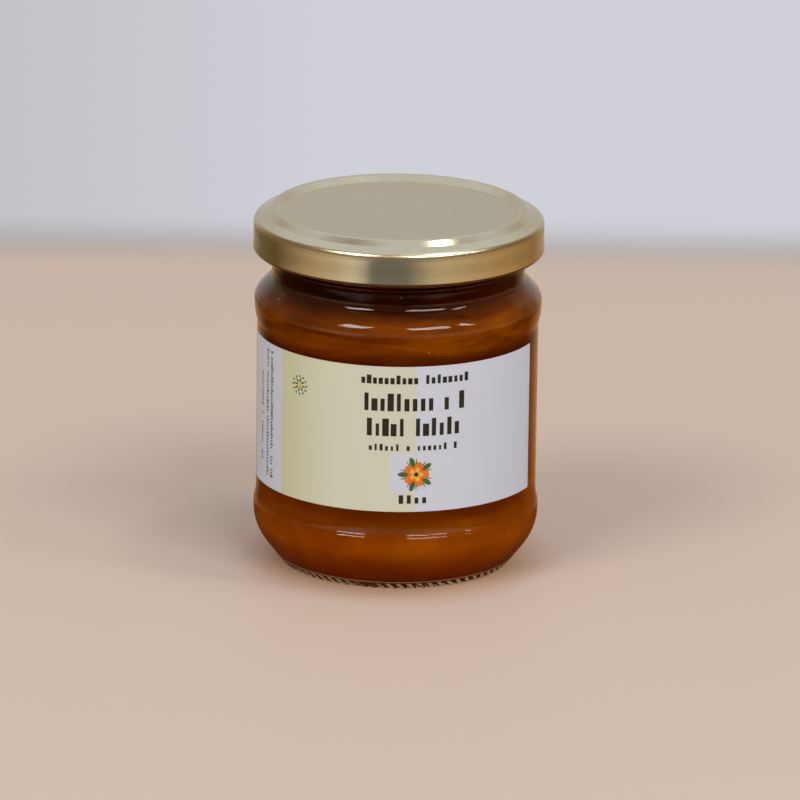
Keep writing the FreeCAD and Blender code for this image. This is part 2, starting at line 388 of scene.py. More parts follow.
def cavity(into_wall=0.0):
    """Corners of the hollow, from the middle of the floor up to the bore."""
    return [
        (0.0, FLOOR_TOP_Z - into_wall, 0.0),
        (5.25, FLOOR_TOP_Z - into_wall, 20.0),
        (10.5, FLOOR_Z - into_wall, 20.0),
        (20.5 + into_wall / 2, FLOOR_Z - into_wall, 5.0),
        (WALL_R + into_wall, 7.8, 7.0),
        (WALL_R + into_wall, 53.05, 2.0),
        (BORE_R + into_wall, 55.4, 2.0),
    ]


outside = [
    (0.0, 1.2, 0.0),
    (18.9, 1.2, 0.65),
    (20.2, 0.0, 0.65),
    (FOOT_R, 0.0, 1.0),
    (FOOT_R + (HEEL_R - FOOT_R) * FOOT_TOP / HEEL_Z, FOOT_TOP, 0.0),
    (HEEL_R, HEEL_Z, 10.0),
    (HEEL_R, 11.3, 3.0),
    (HEEL_R - 0.04, 11.85, 0.06),
    (HEEL_R - 0.13, 11.98, 0.06),
    (HEEL_R - 0.15, 12.42, 0.06),
    (HEEL_R - 0.25, 12.565, 0.06),
    (PANEL_R, 14.32, 3.0),
    (PANEL_R, 48.0, 0.5),
    (SHOULDER_R, 49.8, 10.5),
    (SHOULDER_R, 53.34, 2.65),
    (NECK_R, 56.8, 1.5),
    (NECK_R, 57.6, 0.0),
    (NECK_R, 59.5, 0.0),
    (NECK_R, 59.75, 0.25),
    (BEAD_R, 60.13, 0.25),
    (BEAD_R, 60.52, 0.25),
    (FINISH_R, 60.9, 0.25),
    (FINISH_R, RIM_Z, 0.8),
]
inside = [(BORE_R, RIM_Z, 0.8)] + cavity()[::-1]
glass_points = divided(rounded(outside + inside), 4.0, fine_below=FOOT_TOP + 0.01)
glass = turned("glass", glass_points, JAR_STEPS)

# %% [markdown]
# ## Geometry Nodes helpers
# What repeats by a rule is made by Geometry Nodes: a small tree with named inputs for its sizes.
# It is tried on a modifier, and the result is kept as a plain mesh, so nothing stays live. The
# inputs are set by their identifiers, which don't change if two have the same name.


# %% Tree helpers
def new_tree(name, inputs):
    """A Geometry Nodes tree, and its inputs: each a usual number, or the kind of thing it takes."""
    tree = bpy.data.node_groups.new(name, "GeometryNodeTree")
    face = tree.interface
    face.new_socket("Geometry", in_out="INPUT", socket_type="NodeSocketGeometry")
    for label, value in inputs.items():
        named = isinstance(value, str)
        kind = value if named else type(value).__name__.capitalize()
        socket = face.new_socket(label, in_out="INPUT", socket_type="NodeSocket" + kind)
        if not named:
            socket.default_value = value
    face.new_socket("Geometry", in_out="OUTPUT", socket_type="NodeSocketGeometry")
    return tree, tree.nodes.new("NodeGroupInput").outputs


def shape(tree, kind, inputs=None, **settings):
    """The first output of a Geometry node, given by the last part of its name."""
    return add_node(tree, "GeometryNode" + kind, inputs, **settings).outputs[0]


def end_tree(geometry, material_socket):
    """Ends a tree: instances become real, the finish is set, and the result goes out."""
    tree = geometry.id_data
    real = shape(tree, "RealizeInstances", {"Geometry": geometry})
    dressed = shape(tree, "SetMaterial", {"Geometry": real, "Material": material_socket})
    tree.links.new(dressed, tree.nodes.new("NodeGroupOutput").inputs[0])


def apply_tree(piece, tree, values):
    """Runs a tree on a piece or a curve, and keeps the result as a plain mesh object."""
    modifier = piece.modifiers.new(tree.name, "NODES")
    modifier.node_group = tree
    sockets = {s.name: s.identifier for s in tree.interface.items_tree if s.in_out == "INPUT"}
    for label, value in values.items():
        modifier[sockets[label]] = value
    bpy.context.view_layer.update()
    ready = piece.evaluated_get(bpy.context.evaluated_depsgraph_get())
    mesh = bpy.data.meshes.new_from_object(ready)
    if piece.type == "CURVE":
        name = piece.name
        bpy.data.objects.remove(piece)
        piece = new_object(name, mesh)
    else:
        piece.modifiers.remove(modifier)
        piece.data = mesh
    print(piece.name, "after", tree.name, "has", len(mesh.polygons), "faces")
    return piece


# %% [markdown]
# ## The knurled foot
# The ring that the jar stands on is knurled: short slanted ribs all round it keep hot glass off
# the lehr's belt. They repeat by one rule, so Geometry Nodes makes them: a wave that runs round the
# axis and leans with height pushes the foot's points inwards between the ribs, by 0.15 mm at the
# ring's outer rounding and less towards the heel.

# %% Knurled foot
RIBS = 72
SLANT = 3200.0
RING_WIDTH = 0.8 * MM

glass_material, glass_tree, glass_shader = new_material(
    "clear_flint_glass", Base_Color=(0.985, 0.99, 0.985, 1), Roughness=0.0, IOR=1.52,
    Transmission_Weight=1.0, Specular_IOR_Level=0.2)


def rib_wave(x, y, z, ribs, slant):
    """The ribs as a wave, 1 on a crest and -1 between two, that slants by radians a metre."""
    return calc("COSINE", calc("MULTIPLY_ADD", z, slant, product(calc("ARCTAN2", y, x), ribs)))


knurl_sizes = {"Ribs": RIBS, "Depth": 0.15 * MM, "Top": 2.0 * MM, "Slant": SLANT,
               "Inner radius": 20.6 * MM}
knurl_tree, knurl = new_tree("knurled foot", {**knurl_sizes, "Material": "Material"})
x, y, z = split(shape(knurl_tree, "InputPosition"))
wave = rib_wave(x, y, z, knurl["Ribs"], knurl["Slant"])
wave = calc("SUBTRACT", product(wave, 0.5), 0.5)
radius = length(combine(x, y))
height_share = share(z, 0.0, knurl["Top"], most=0.0, least=1.0)
radius_share = share(radius, knurl["Inner radius"], calc("ADD", knurl["Inner radius"], RING_WIDTH))
push = product(wave, knurl["Depth"], product(height_share, radius_share))
offset = add_node(knurl_tree, "ShaderNodeVectorMath", {
    0: shape(knurl_tree, "InputNormal"), "Scale": push}, operation="SCALE").outputs[0]
moved = shape(knurl_tree, "SetPosition", {"Geometry": knurl["Geometry"], "Offset": offset})
end_tree(moved, knurl["Material"])
apply_tree(glass, knurl_tree, {**knurl_sizes, "Material": glass_material})

# %% [markdown]
# ## The thread starts
# Four right-hand threads stand out of the finish under the lid. Each runs level where a lug
# rests and then climbs. A thread is one section swept along one path and repeated four times
# round the axis, so a tree sweeps it and turns the copies.

# %% Swept and repeated
STARTS = 4


def path_object(name, points, cyclic=False):
    """A poly curve through points, given in metres."""
    data = bpy.data.curves.new(name, "CURVE")
    data.dimensions = "3D"
    line = data.splines.new("POLY")
    line.points.add(len(points) - 1)
    for point, place in zip(line.points, points):
        point.co = (*place, 1.0)
    line.use_cyclic_u = cyclic
    return new_object(name, data)


def on_jar(radius, degrees, height):
    """A point at a bearing, which is counted from the front towards the right, in metres."""
    angle = math.radians(degrees - 90)
    return Vector((radius * math.cos(angle), radius * math.sin(angle), height)) * MM


sweep_tree, sweep = new_tree("swept and repeated", {
    "Section": "Object", "Copies": STARTS, "Fade": 0.1, "Material": "Material"})
along = shape(sweep_tree, "SplineParameter")
near_end = calc("MINIMUM", along, calc("SUBTRACT", 1.0, along))
thin = share(near_end, 0.0, sweep["Fade"], least=0.2)
upright = shape(sweep_tree, "SetCurveNormal", {"Curve": sweep["Geometry"]}, mode="Z_UP")
sized = shape(sweep_tree, "SetCurveRadius", {"Curve": upright, "Radius": thin})
section = add_node(sweep_tree, "GeometryNodeObjectInfo", {"Object": sweep["Section"]})
tube = shape(sweep_tree, "CurveToMesh", {
    "Curve": sized, "Profile Curve": section.outputs["Geometry"], "Fill Caps": True})
spots = shape(sweep_tree, "MeshLine", {"Offset": (0, 0, 0), "Count": sweep["Copies"]})
spacing = calc("DIVIDE", math.tau, sweep["Copies"])
turns = combine(z=product(shape(sweep_tree, "InputIndex"), spacing))
copies = shape(sweep_tree, "InstanceOnPoints", {
    "Points": spots, "Instance": tube, "Rotation": turns})
end_tree(copies, sweep["Material"])


def swept(name, path, section_points, fade, material):
    """A section, given in mm, swept along a path and repeated once for each start."""
    profile = path_object(
        name + " section", [(x * MM, z * MM, 0) for x, z in section_points], cyclic=True)
    made = apply_tree(path_object(name, path), sweep_tree, {
        "Section": profile, "Copies": STARTS, "Fade": fade, "Material": material})
    finish_mesh(made.data)
    bpy.data.objects.remove(profile)
    radii = [v.co.xy.length / MM for v in made.data.vertices]
    print(name, "from radius", round(min(radii), 2), "to", round(max(radii), 2), "mm")
    return made


# %% [markdown]
# ## One thread
# The path stays level for 22 degrees, where the lug rests under it, and then climbs 1.9 mm. The
# section is square below, where the lug pulls, and slopes above, so that the glass leaves its
# mould. Its ends taper, because moulded glass has no sharp steps.

# %% Thread starts
THREAD_Z = 64.125
THREAD_SPAN = 68.0
THREAD_LEVEL = 22.0
THREAD_CLIMB = 1.9
THREAD_STEPS = 34
LUG_AT = 34.5
THREAD_SECTION = [
    (0.4, -0.875), (-1.2, -0.875), (-1.55, -0.525), (-1.55, -0.175), (0.0, 0.875), (0.4, 0.875)]

thread_path = []
for k in range(THREAD_STEPS + 1):
    turn = THREAD_SPAN * k / THREAD_STEPS
    climb = max(turn - THREAD_LEVEL, 0) / (THREAD_SPAN - THREAD_LEVEL)
    thread_path.append(on_jar(
        FINISH_R, LUG_AT - THREAD_LEVEL / 2 + turn, THREAD_Z + THREAD_CLIMB * climb))
threads = swept("threads", thread_path, THREAD_SECTION, 0.09, glass_material)

# %% [markdown]
# ## Glass finish
# Clear glass is a Principled shader with full transmission. Soda-lime glass bends light by 1.52.
# Its mould leaves a faint waviness, which a very low bump gives. To let lamp light through to the
# jam without a slow caustic, the material turns transparent for shadow rays. On the foot the rib
# crests are painted pale in patches, and a thin pale line runs above them. Both are painted light,
# for the light that the clear foot gathers from the table. Both are a share of plain diffuse: the
# crests follow the same wave that made the ribs, and the line lies by height.

# %% Glass finish
FOOT_GLOW_TOP = 1.6 * MM
FOOT_GLOW_FULL = 1.2 * MM
LINE_FROM = 1.62 * MM
LINE_TO = 1.82 * MM

spot = object_spot(glass_tree)
waves = noise(spot, scale=120.0, detail=1.0, roughness=0.4)
add_bump(glass_shader, waves, strength=0.06, distance=0.0006)
ray = add_node(glass_tree, "ShaderNodeLightPath")
through = add_node(glass_tree, "ShaderNodeBsdfTransparent", {"Color": (0.95, 0.96, 0.95, 1)})
clear_glass = mix_shader(ray.outputs["Is Shadow Ray"], glass_shader.outputs[0], through.outputs[0])
x, y, z = split(spot)
# Painted light on the foot: pale diffuse on patches of the rib crests and on a thin line.
crest = share(rib_wave(x, y, z, RIBS, SLANT), -0.1, 0.7)
foot_share = share(z, FOOT_GLOW_TOP, FOOT_GLOW_FULL, most=0.65)
foot_glow_patches = share(noise(spot, scale=70.0), 0.30, 0.48)
rib_share = product(crest, product(foot_share, foot_glow_patches))
line_share = product(between(z, LINE_FROM, LINE_TO), 0.45)
painted_foot_glow = add_node(glass_tree, "ShaderNodeBsdfDiffuse", {"Color": (0.78, 0.68, 0.48, 1)})
glass_with_painted_glow = mix_shader(calc("MAXIMUM", rib_share, line_share), clear_glass, painted_foot_glow.outputs[0])
feed(glass_tree.nodes["Material Output"].inputs["Surface"], glass_with_painted_glow)
for piece in (glass, threads):
    piece.data.materials.clear()
    piece.data.materials.append(glass_material)
print("glass finish on", glass.name, "and", threads.name)

# %% [markdown]
# ## The jam's body
# The jam fills the glass, so it has the outline of the hollow. It reaches a tenth of a millimetre
# into the wall, because even the thinnest film of air would mirror.

# %% Jam body
INTO_WALL = 0.12
JAM_Z = JAM_HIGH.z / MM
jam_outline = cavity(INTO_WALL) + [
    (BORE_R + INTO_WALL, JAM_Z, 0.3),
    (BORE_R - 1.2, JAM_Z - 0.25, 1.0),
    (0.0, JAM_Z - 0.3, 0.0),
]
jam = turned("jam_fill", divided(rounded(jam_outline), 2.5), 192)

# %% [markdown]
# ## Jam finish
# Jam is cloudy: light enters, scatters in the pulp and comes out amber, and where little light
# gets in it looks dark brown. Its colour is mottled by two noises, one for soft folds of pulp and
# one for small pieces of fruit. A list of tones by height paints light and shade into it. Painted
# shade darkens it at the floor, at the label's top edge, in the upper shoulder and under the lid.
# Painted light brightens it at the heel and just below the label. Level streaks in the shoulder are
# painted reflections. Painted shade darkens the left of the shoulder, and painted light lightens
# the right of the neck. Those two are painted by place.

# %% Jam finish
# height in mm, and what red, green and blue are multiplied by there, as painted light and shade
LIGHT_AND_SHADE_BY_HEIGHT = [
    (2.7, 0.50, 0.21, 0.2), (5.0, 0.98, 0.70, 0.4), (8.0, 1.25, 1.24, 0.8),
    (12.5, 0.92, 0.94, 0.8), (14.5, 1.2, 1.22, 0.8), (16.5, 1.5, 1.5, 0.8), (19.0, 1.1, 1.1, 0.7),
    (40.0, 0.9, 0.8, 0.7), (46.0, 0.40, 0.20, 0.2), (48.5, 0.80, 0.76, 0.3),
    (51.5, 0.90, 0.96, 0.4), (53.5, 0.44, 0.38, 0.3), (55.0, 0.22, 0.14, 0.2),
    (57.5, 0.26, 0.05, 0.1), (65.4, 0.28, 0.03, 0.05),
]
PAINTED_REFLECTION_STREAKS = [(0.36, (0.48, 0.38, 0.3, 1)), (0.5, (0.9, 0.86, 0.8, 1)), (0.66, (1.3, 1.42, 1.0, 1))]
FRUIT = srgb(110, 44, 0)
PAINTED_LIGHT_RIGHT = srgb(112, 46, 0)
PAINTED_SHADE_LEFT = (0.55, 0.45, 0.3, 1)

jam_material, jam_tree, jam_shader = new_material(
    "apricot_jam", Roughness=0.4, IOR=1.42, Specular_IOR_Level=0.0, Subsurface_Weight=0.85,
    Subsurface_Scale=0.004, Subsurface_Radius=(1.0, 0.42, 0.12))
spot = object_spot(jam_tree)
x, _, z = split(spot)
folds = noise(stretched(spot, (1.0, 1.0, 1.8)),
              scale=55.0, detail=4.0, roughness=0.55, distortion=1.2)
pulp = ramp(folds, [(0.3, srgb(152, 68, 0)), (0.5, srgb(168, 83, 0)), (0.7, srgb(178, 94, 1))])
fruit = add_node(jam_tree, "ShaderNodeTexVoronoi", {
    "Vector": spot, "Scale": 160.0, "Randomness": 1.0}, feature="SMOOTH_F1")
fruit_share = share(fruit.outputs["Distance"], 0.15, 0.65, most=0.25, ease="LINEAR")
jam_colour = mix_colour(fruit_share, pulp, FRUIT)
# Painted light and shade by height, from the list of tones above.
depth = share(z, 0.0, JAM_Z * MM, ease="LINEAR")
painted_light_and_shade = ramp(depth, [(at / JAM_Z, (*tone, 1)) for at, *tone in LIGHT_AND_SHADE_BY_HEIGHT])
jam_colour = mix_colour(1.0, jam_colour, painted_light_and_shade, "MULTIPLY")
# Painted reflections: level dark and light streaks in the shoulder.
streaks = noise(stretched(spot, (0.55, 0.55, 3.2)), scale=90.0, detail=3.0, distortion=0.6)
reflection_streak_share = share(z, 42 * MM, 50 * MM, most=0.85, ease="LINEAR")
jam_colour = tinted(reflection_streak_share, jam_colour, ramp(streaks, PAINTED_REFLECTION_STREAKS))
# Painted shade on the left of the shoulder, and painted light on the right of the neck.
left_shade_share = product(share(x, -6 * MM, -16 * MM), share(z, 48.5 * MM, 51.5 * MM, ease="LINEAR"))
jam_colour = tinted(left_shade_share, jam_colour, PAINTED_SHADE_LEFT)
right_light_share = product(share(x, 10 * MM, 22 * MM),
                     share(z, 52 * MM, 56 * MM, most=0.8, ease="LINEAR"))
jam_colour = mix_colour(right_light_share, jam_colour, PAINTED_LIGHT_RIGHT)
feed(jam_shader.inputs["Base Color"], jam_colour)
jam.data.materials.append(jam_material)
print("jam finish on", jam.name)

# %% [markdown]
# ## The lid
# The lid is drawn from one sheet of tinplate: a flat panel, a raised ring over the glass rim, a
# sloped edge, a plain skirt and a curl rolled inwards at the bottom. The cream-white sealing
# compound lies in the ring. Both sides are turned from one outline with small roundings.

# %% Lid outline
LID_Z = LID_LOW.z / MM
SHEET = 0.22
RING_IN = BORE_R - 0.2
RING_OUT = FINISH_R + 0.8
SKIRT_R = 28.1
CURL_R = 28.2
CURL_IN_R = 26.76
CURL_HIGH = 1.44
lid_outside = [
    (0.0, RIM_Z + 0.30, 0.0),
    (RING_IN, RIM_Z + 0.30, 0.6),
    (RING_IN + 1.4, RIM_Z + 1.35, 0.85),
    (RING_IN + 2.25, RIM_Z + 1.35, 0.9),
    (FINISH_R + 1.2, RIM_Z + 0.15, 0.7),
    (SKIRT_R, RIM_Z - 0.84, 1.3),
    (SKIRT_R, LID_Z + 1.9, 1.44),
    (CURL_R, LID_Z + 0.72, 1.44),
    (CURL_R, LID_Z, 0.7),
    (CURL_IN_R, LID_Z, 0.7),
    (CURL_IN_R, LID_Z + CURL_HIGH, 0.7),
    (CURL_IN_R + 0.74, LID_Z + CURL_HIGH, 0.0),
]
lid_inside = [
    (CURL_IN_R + 0.74, LID_Z + CURL_HIGH - SHEET, 0.0),
    (CURL_IN_R + SHEET, LID_Z + CURL_HIGH - SHEET, 0.48),
    (CURL_IN_R + SHEET, LID_Z + SHEET, 0.48),
    (CURL_R - SHEET, LID_Z + SHEET, 0.48),
    (CURL_R - SHEET, LID_Z + 0.72, 1.2),
    (SKIRT_R - SHEET, LID_Z + 1.9, 1.2),
    (SKIRT_R - SHEET, RIM_Z - 1.0, 1.08),
    (RING_OUT, RIM_Z, 0.0),
    (RING_IN + 0.3, RIM_Z, 0.0),
    (RING_IN - 0.1, RIM_Z + 0.08, 0.0),
    (0.0, RIM_Z + 0.08, 0.0),
]
lid_points = rounded(lid_outside + lid_inside, math.radians(12))
lid = turned("lid_shell", divided(lid_points, 2.5), 288)

# %% [markdown]
# ## The lugs
# Four lugs are bent in from the curl and hold under the threads. Each is a rounded bar that
# follows the curl for fourteen degrees, so the tree that swept the threads makes them as well,
# with another section and hardly any fade.

# %% Lugs
LUG_SPAN = 14.0
LUG_R = 25.8
LUG_STEPS = 8
gold_material, gold_tree, gold_shader = new_material(
    "gold_lacquered_tinplate", Metallic=1.0, Roughness=0.15, Coat_Weight=0.3,
    Coat_Roughness=0.08, Coat_IOR=1.5)


def round_bar(wide, high, rounding, steps=4):
    """The points of a rounded rectangle."""
    points = []
    for turn in range(4):
        cx = (wide / 2 - rounding) * (1 if turn in (0, 3) else -1)
        cy = (high / 2 - rounding) * (1 if turn in (0, 1) else -1)
        for k in range(steps + 1):
            angle = math.radians(90 * turn + 90 * k / steps)
            points.append((cx + rounding * math.cos(angle), cy + rounding * math.sin(angle)))
    return points


lug_path = [on_jar(LUG_R, LUG_AT - LUG_SPAN / 2 + LUG_SPAN * k / LUG_STEPS, LID_Z + 0.725)
            for k in range(LUG_STEPS + 1)]
lugs = swept("lugs", lug_path, round_bar(2.3, 1.05, 0.35), 0.0001, gold_material)

# %% [markdown]
# ## Gold lacquer
# The tinplate is rolled steel with a thin gold lacquer. The colour comes from the metal under the
# lacquer, so it is a metallic shader with a thin clear coat. A wide noise makes its gloss a little
# uneven, and a low fine one gives the slight orange peel of stoved lacquer. The drawn corner
# between ring and skirt is duller, because the press stretched it. The compound is a soft mottled
# cream, on the faces that lie in the ring.

# %% Gold lacquer
CORNER_FROM = (RIM_Z - 2.1) * MM
CORNER_TO = (RIM_Z - 0.35) * MM
CORNER_DULLER = 0.12

spot = object_spot(gold_tree)
rolled = noise(spot, scale=60.0, detail=3.0, roughness=0.6)
peel = noise(spot, scale=350.0)
rolled_rough = share(rolled, 0.0, 1.0, most=0.19, least=0.12, ease="LINEAR")
corner = between(split(spot)[2], CORNER_FROM, CORNER_TO)
feed(gold_shader.inputs["Roughness"], calc("MULTIPLY_ADD", corner, CORNER_DULLER, rolled_rough))
feed(gold_shader.inputs["Base Color"], ramp(peel, [
    (0.3, srgb(228, 216, 184)), (0.7, srgb(232, 221, 191))]))
add_bump(gold_shader, peel, strength=0.12, distance=0.0001)

compound_material = mottled(
    "sealing_compound", 400.0, [(0.3, srgb(222, 214, 196)), (0.7, srgb(232, 226, 212))],
    detail=3.0, Roughness=0.55, Specular_IOR_Level=0.4)
lid.data.materials.append(gold_material)
lid.data.materials.append(compound_material)
for face in lid.data.polygons:
    middle = face.center / MM
    flat_under = abs(middle.z - RIM_Z) < 0.02 and face.normal.z < -0.5
    face.material_index = 1 if flat_under and RING_IN < middle.xy.length < RING_OUT else 0
print("compound faces", sum(f.material_index == 1 for f in lid.data.polygons))

# %% [markdown]
# ## The label
# One strip of satin paper is wrapped round the panel and left open at the back. The print is laid
# out in degrees along the strip and millimetres up it. The sheet is a thin closed shell, and a UV
# map runs along it, so that its print follows the paper.

# %% Label sheet
LABEL_FROM = -81.7
LABEL_TO = 68.9
LABEL_T = 0.11
LABEL_Z = LABEL_LOW.z / MM
LABEL_TOP = LABEL_HIGH.z / MM
PRINT_R = PANEL_R + LABEL_T
UV_UNIT = 100


def wrapped(name, across, up_steps):
    """The label as a closed shell, its UV in degrees of bearing and mm of height, each / 100."""
    work = bmesh.new()
    uv = work.loops.layers.uv.new("print")
    grid = {}
    for layer, radius in enumerate((PRINT_R, PANEL_R)):
        for i in range(across + 1):
            for j in range(up_steps + 1):
                degrees = LABEL_FROM + (LABEL_TO - LABEL_FROM) * i / across
                height = LABEL_Z + (LABEL_TOP - LABEL_Z) * j / up_steps
                vert = work.verts.new(on_jar(radius, degrees, height))
                grid[layer, i, j] = (vert, (degrees / UV_UNIT, height / UV_UNIT))

    def face(*keys):
        made = work.faces.new([grid[key][0] for key in keys])
        for loop, key in zip(made.loops, keys):
            loop[uv].uv = grid[key][1]

    for i in range(across):
        for j in range(up_steps):
            face((0, i, j), (0, i + 1, j), (0, i + 1, j + 1), (0, i, j + 1))
            face((1, i, j), (1, i, j + 1), (1, i + 1, j + 1), (1, i + 1, j))
        face((0, i, 0), (1, i, 0), (1, i + 1, 0), (0, i + 1, 0))
        face((0, i, up_steps), (0, i + 1, up_steps), (1, i + 1, up_steps), (1, i, up_steps))
    for j in range(up_steps):
        face((0, 0, j), (0, 0, j + 1), (1, 0, j + 1), (1, 0, j))
        face((0, across, j), (1, across, j), (1, across, j + 1), (0, across, j + 1))
    mesh = bpy.data.meshes.new(name)
    work.to_mesh(mesh)
    work.free()
    mesh.shade_smooth()
    mesh.set_sharp_from_angle(angle=SHARP)
    return new_object(name, mesh)


label = wrapped("label_paper", 302, 24)
print(label.name, "has", len(label.data.polygons), "faces")

# %% [markdown]
# ## Print and paper
# The print has three fields: a white strip at the left end, a cream field that grows paler
# towards the middle, and a cool white field to the right end, which also steps in behind the
# picture. Sharp edges come from comparing the UV map with the layout. The paper is satin, with a
# fine fibre in its surface.

# %% Print and paper
CREAM_FROM = -53.8
CREAM_TO = 7.7
PATCH_FROM = -2.4
PATCH_LOW = 21.0
PATCH_HIGH = 29.0
COOL_WHITE = srgb(214, 220, 233)

paper_material, paper_tree, paper_shader = new_material(
    "label_paper", Roughness=0.42, Specular_IOR_Level=0.45, Coat_Weight=0.1, Coat_Roughness=0.3)
u, v, _ = split(add_node(paper_tree, "ShaderNodeUVMap", uv_map="print").outputs[0])
bearing = product(u, UV_UNIT)
height = product(v, UV_UNIT)
cream_share = share(bearing, CREAM_FROM, CREAM_TO, ease="LINEAR")
cream = ramp(cream_share, [
    (0.0, srgb(215, 216, 175)), (0.45, srgb(222, 224, 200)), (1.0, srgb(217, 219, 199))])
in_cream = between(bearing, CREAM_FROM, CREAM_TO)
in_patch = product(between(bearing, PATCH_FROM, CREAM_TO), between(height, PATCH_LOW, PATCH_HIGH))
cream_only = product(in_cream, calc("SUBTRACT", 1.0, in_patch))
paper_colour = mix_colour(cream_only, COOL_WHITE, cream)
fibre = noise(object_spot(paper_tree), scale=2200.0, detail=3.0, roughness=0.6)
tone = share(fibre, 0.0, 1.0, least=0.975, ease="LINEAR")
grey = add_node(paper_tree, "ShaderNodeCombineColor", {"Red": tone, "Green": tone, "Blue": tone})
feed(paper_shader.inputs["Base Color"], mix_colour(1.0, paper_colour, grey.outputs[0], "MULTIPLY"))
add_bump(paper_shader, fibre, strength=0.1, distance=0.00003)
label.data.materials.append(paper_material)
print("label finish on", label.name)

# %% [markdown]
# ## Printed marks
# Lines of print are shown as rows of plain marks of varied width, which is how a layout stands in
# for type. A tree lays a row out flat, as arc length and height, turns it where it runs up the
# strip, and then wraps it round the panel. Each mark is a film of ink, a closed box a few
# hundredths of a millimetre thick.

# %% Row of marks
INK = 0.02
INK_SIZES = {"Ink": INK * MM, "Bearing": 0.0, "Level": 30.0 * MM, "Radius": PRINT_R * MM,
             "Material": "Material"}


def draw(seed, low=0.0, high=1.0):
    """A number drawn at random for each point."""
    return add_node(seed.id_data, "FunctionNodeRandomValue", {
        "Min": low, "Max": high, "Seed": seed}, data_type="FLOAT").outputs["Value"]


def on_paper(sizes):
    """How far a film is lifted, so that its back lies on the paper."""
    return product(sizes["Ink"], -0.5)


def end_wrapped(geometry, sizes):
    """Moves flat print to its bearing and level, wraps it round the panel, and ends the tree."""
    tree = geometry.id_data
    radius = sizes["Radius"]
    arc = product(calc("RADIANS", sizes["Bearing"]), radius)
    placed = shape(tree, "Transform", {
        "Geometry": geometry, "Translation": combine(x=arc, z=sizes["Level"])})
    x, y, z = split(shape(tree, "InputPosition"))
    turn = calc("DIVIDE", x, radius)
    reach = calc("SUBTRACT", radius, y)
    spun = combine(product(reach, calc("SINE", turn)),
                   product(reach, calc("COSINE", turn), -1.0), z)
    end_tree(shape(tree, "SetPosition", {"Geometry": placed, "Position": spun}), sizes["Material"])


row_tree, row = new_tree("row of marks", {
    "Marks": 10, "Pitch": 1.0 * MM, "Tall": 2.0 * MM, "Turn": 0.0, "Narrow": 0.35, "Wide": 0.8,
    "Gaps": 0.1, "Seed": 1, **INK_SIZES})
row_line = shape(row_tree, "MeshLine", {"Count": row["Marks"], "Offset": combine(x=row["Pitch"])})
width = draw(row["Seed"], row["Narrow"], row["Wide"])
dice = draw(calc("ADD", row["Seed"], 17.0))
tall_share = calc("MULTIPLY_ADD", calc("GREATER_THAN", dice, 0.6), 0.3, 0.7)
base_shift = product(calc("SUBTRACT", tall_share, 1.0), row["Tall"], 0.5)
stamped = shape(row_tree, "InstanceOnPoints", {
    "Points": shape(row_tree, "SetPosition", {
        "Geometry": row_line,
        "Offset": combine(y=on_paper(row), z=base_shift)}),
    "Instance": shape(row_tree, "MeshCube", {"Size": (1, 1, 1), "Vertices X": 4}),
    "Scale": combine(product(width, row["Pitch"]), row["Ink"], product(tall_share, row["Tall"])),
    "Selection": calc("GREATER_THAN", dice, row["Gaps"])})
swung = shape(row_tree, "Transform", {
    "Geometry": shape(row_tree, "RealizeInstances", {"Geometry": stamped}),
    "Rotation": combine(y=calc("RADIANS", row["Turn"]))})
end_wrapped(swung, row)
print("row of marks has", len(row_tree.nodes), "nodes")

# %% [markdown]
# ## Printed rosette
# The picture's place holds a plain ornament in the same colours: petals round a middle, over
# leaves. Petals repeat round a point, so one small tree makes every layer of it, and each layer
# lies a little higher than the one below.

# %% Ring of petals
petal_tree, petal = new_tree("ring of petals", {
    "Petals": 6, "Ring": 1.5 * MM, "Long": 2.0 * MM, "Wide": 1.0 * MM, "Start": 0.0, **INK_SIZES})
disc = shape(petal_tree, "MeshCylinder", {"Vertices": 20, "Radius": 0.5, "Depth": petal["Ink"]})
leaf = shape(petal_tree, "Transform", {"Geometry": disc, "Rotation": (math.radians(90), 0, 0)})
leaf = shape(petal_tree, "Transform", {
    "Geometry": leaf, "Scale": combine(petal["Long"], 1.0, petal["Wide"]),
    "Translation": combine(petal["Ring"], on_paper(petal))})
points = shape(petal_tree, "MeshLine", {"Offset": (0, 0, 0), "Count": petal["Petals"]})
around = product(shape(petal_tree, "InputIndex"), calc("DIVIDE", math.tau, petal["Petals"]))
around = calc("ADD", around, calc("RADIANS", petal["Start"]))
petals = shape(petal_tree, "InstanceOnPoints", {
    "Points": points, "Instance": leaf, "Rotation": combine(y=around)})
end_wrapped(shape(petal_tree, "RealizeInstances", {"Geometry": petals}), petal)
print("ring of petals has", len(petal_tree.nodes), "nodes")

# %% [markdown]
# ## Inks
# Offset inks are thin and satin. Each is one colour with a little unevenness from the paper, so
# a noise takes it to a slightly paler tone of itself.


# %% Inks
def ink(name, colour):
    """A satin ink with a faint unevenness."""
    pale = tuple(min(1.0, c * 1.18 + 0.01) for c in colour[:3]) + (1.0,)
    return mottled(name, 1500.0, [(0.35, colour), (0.7, pale)],
                   Roughness=0.4, Specular_IOR_Level=0.4)


DARK = ink("dark_ink", srgb(44, 38, 26))
GREY = ink("grey_ink", srgb(104, 100, 104))
LEAF = ink("leaf_green_ink", srgb(72, 104, 44))
ORANGE = ink("orange_ink", srgb(226, 116, 34))
YELLOW = ink("yellow_ink", srgb(240, 184, 62))
BROWN = ink("brown_ink", srgb(84, 52, 30))
print("six inks")

# %% [markdown]
# ## Layout of the rows
# Rows are listed as first bearing, level, number of marks, pitch and height. The seed fixes each
# row's widths, so the print comes out the same every time.

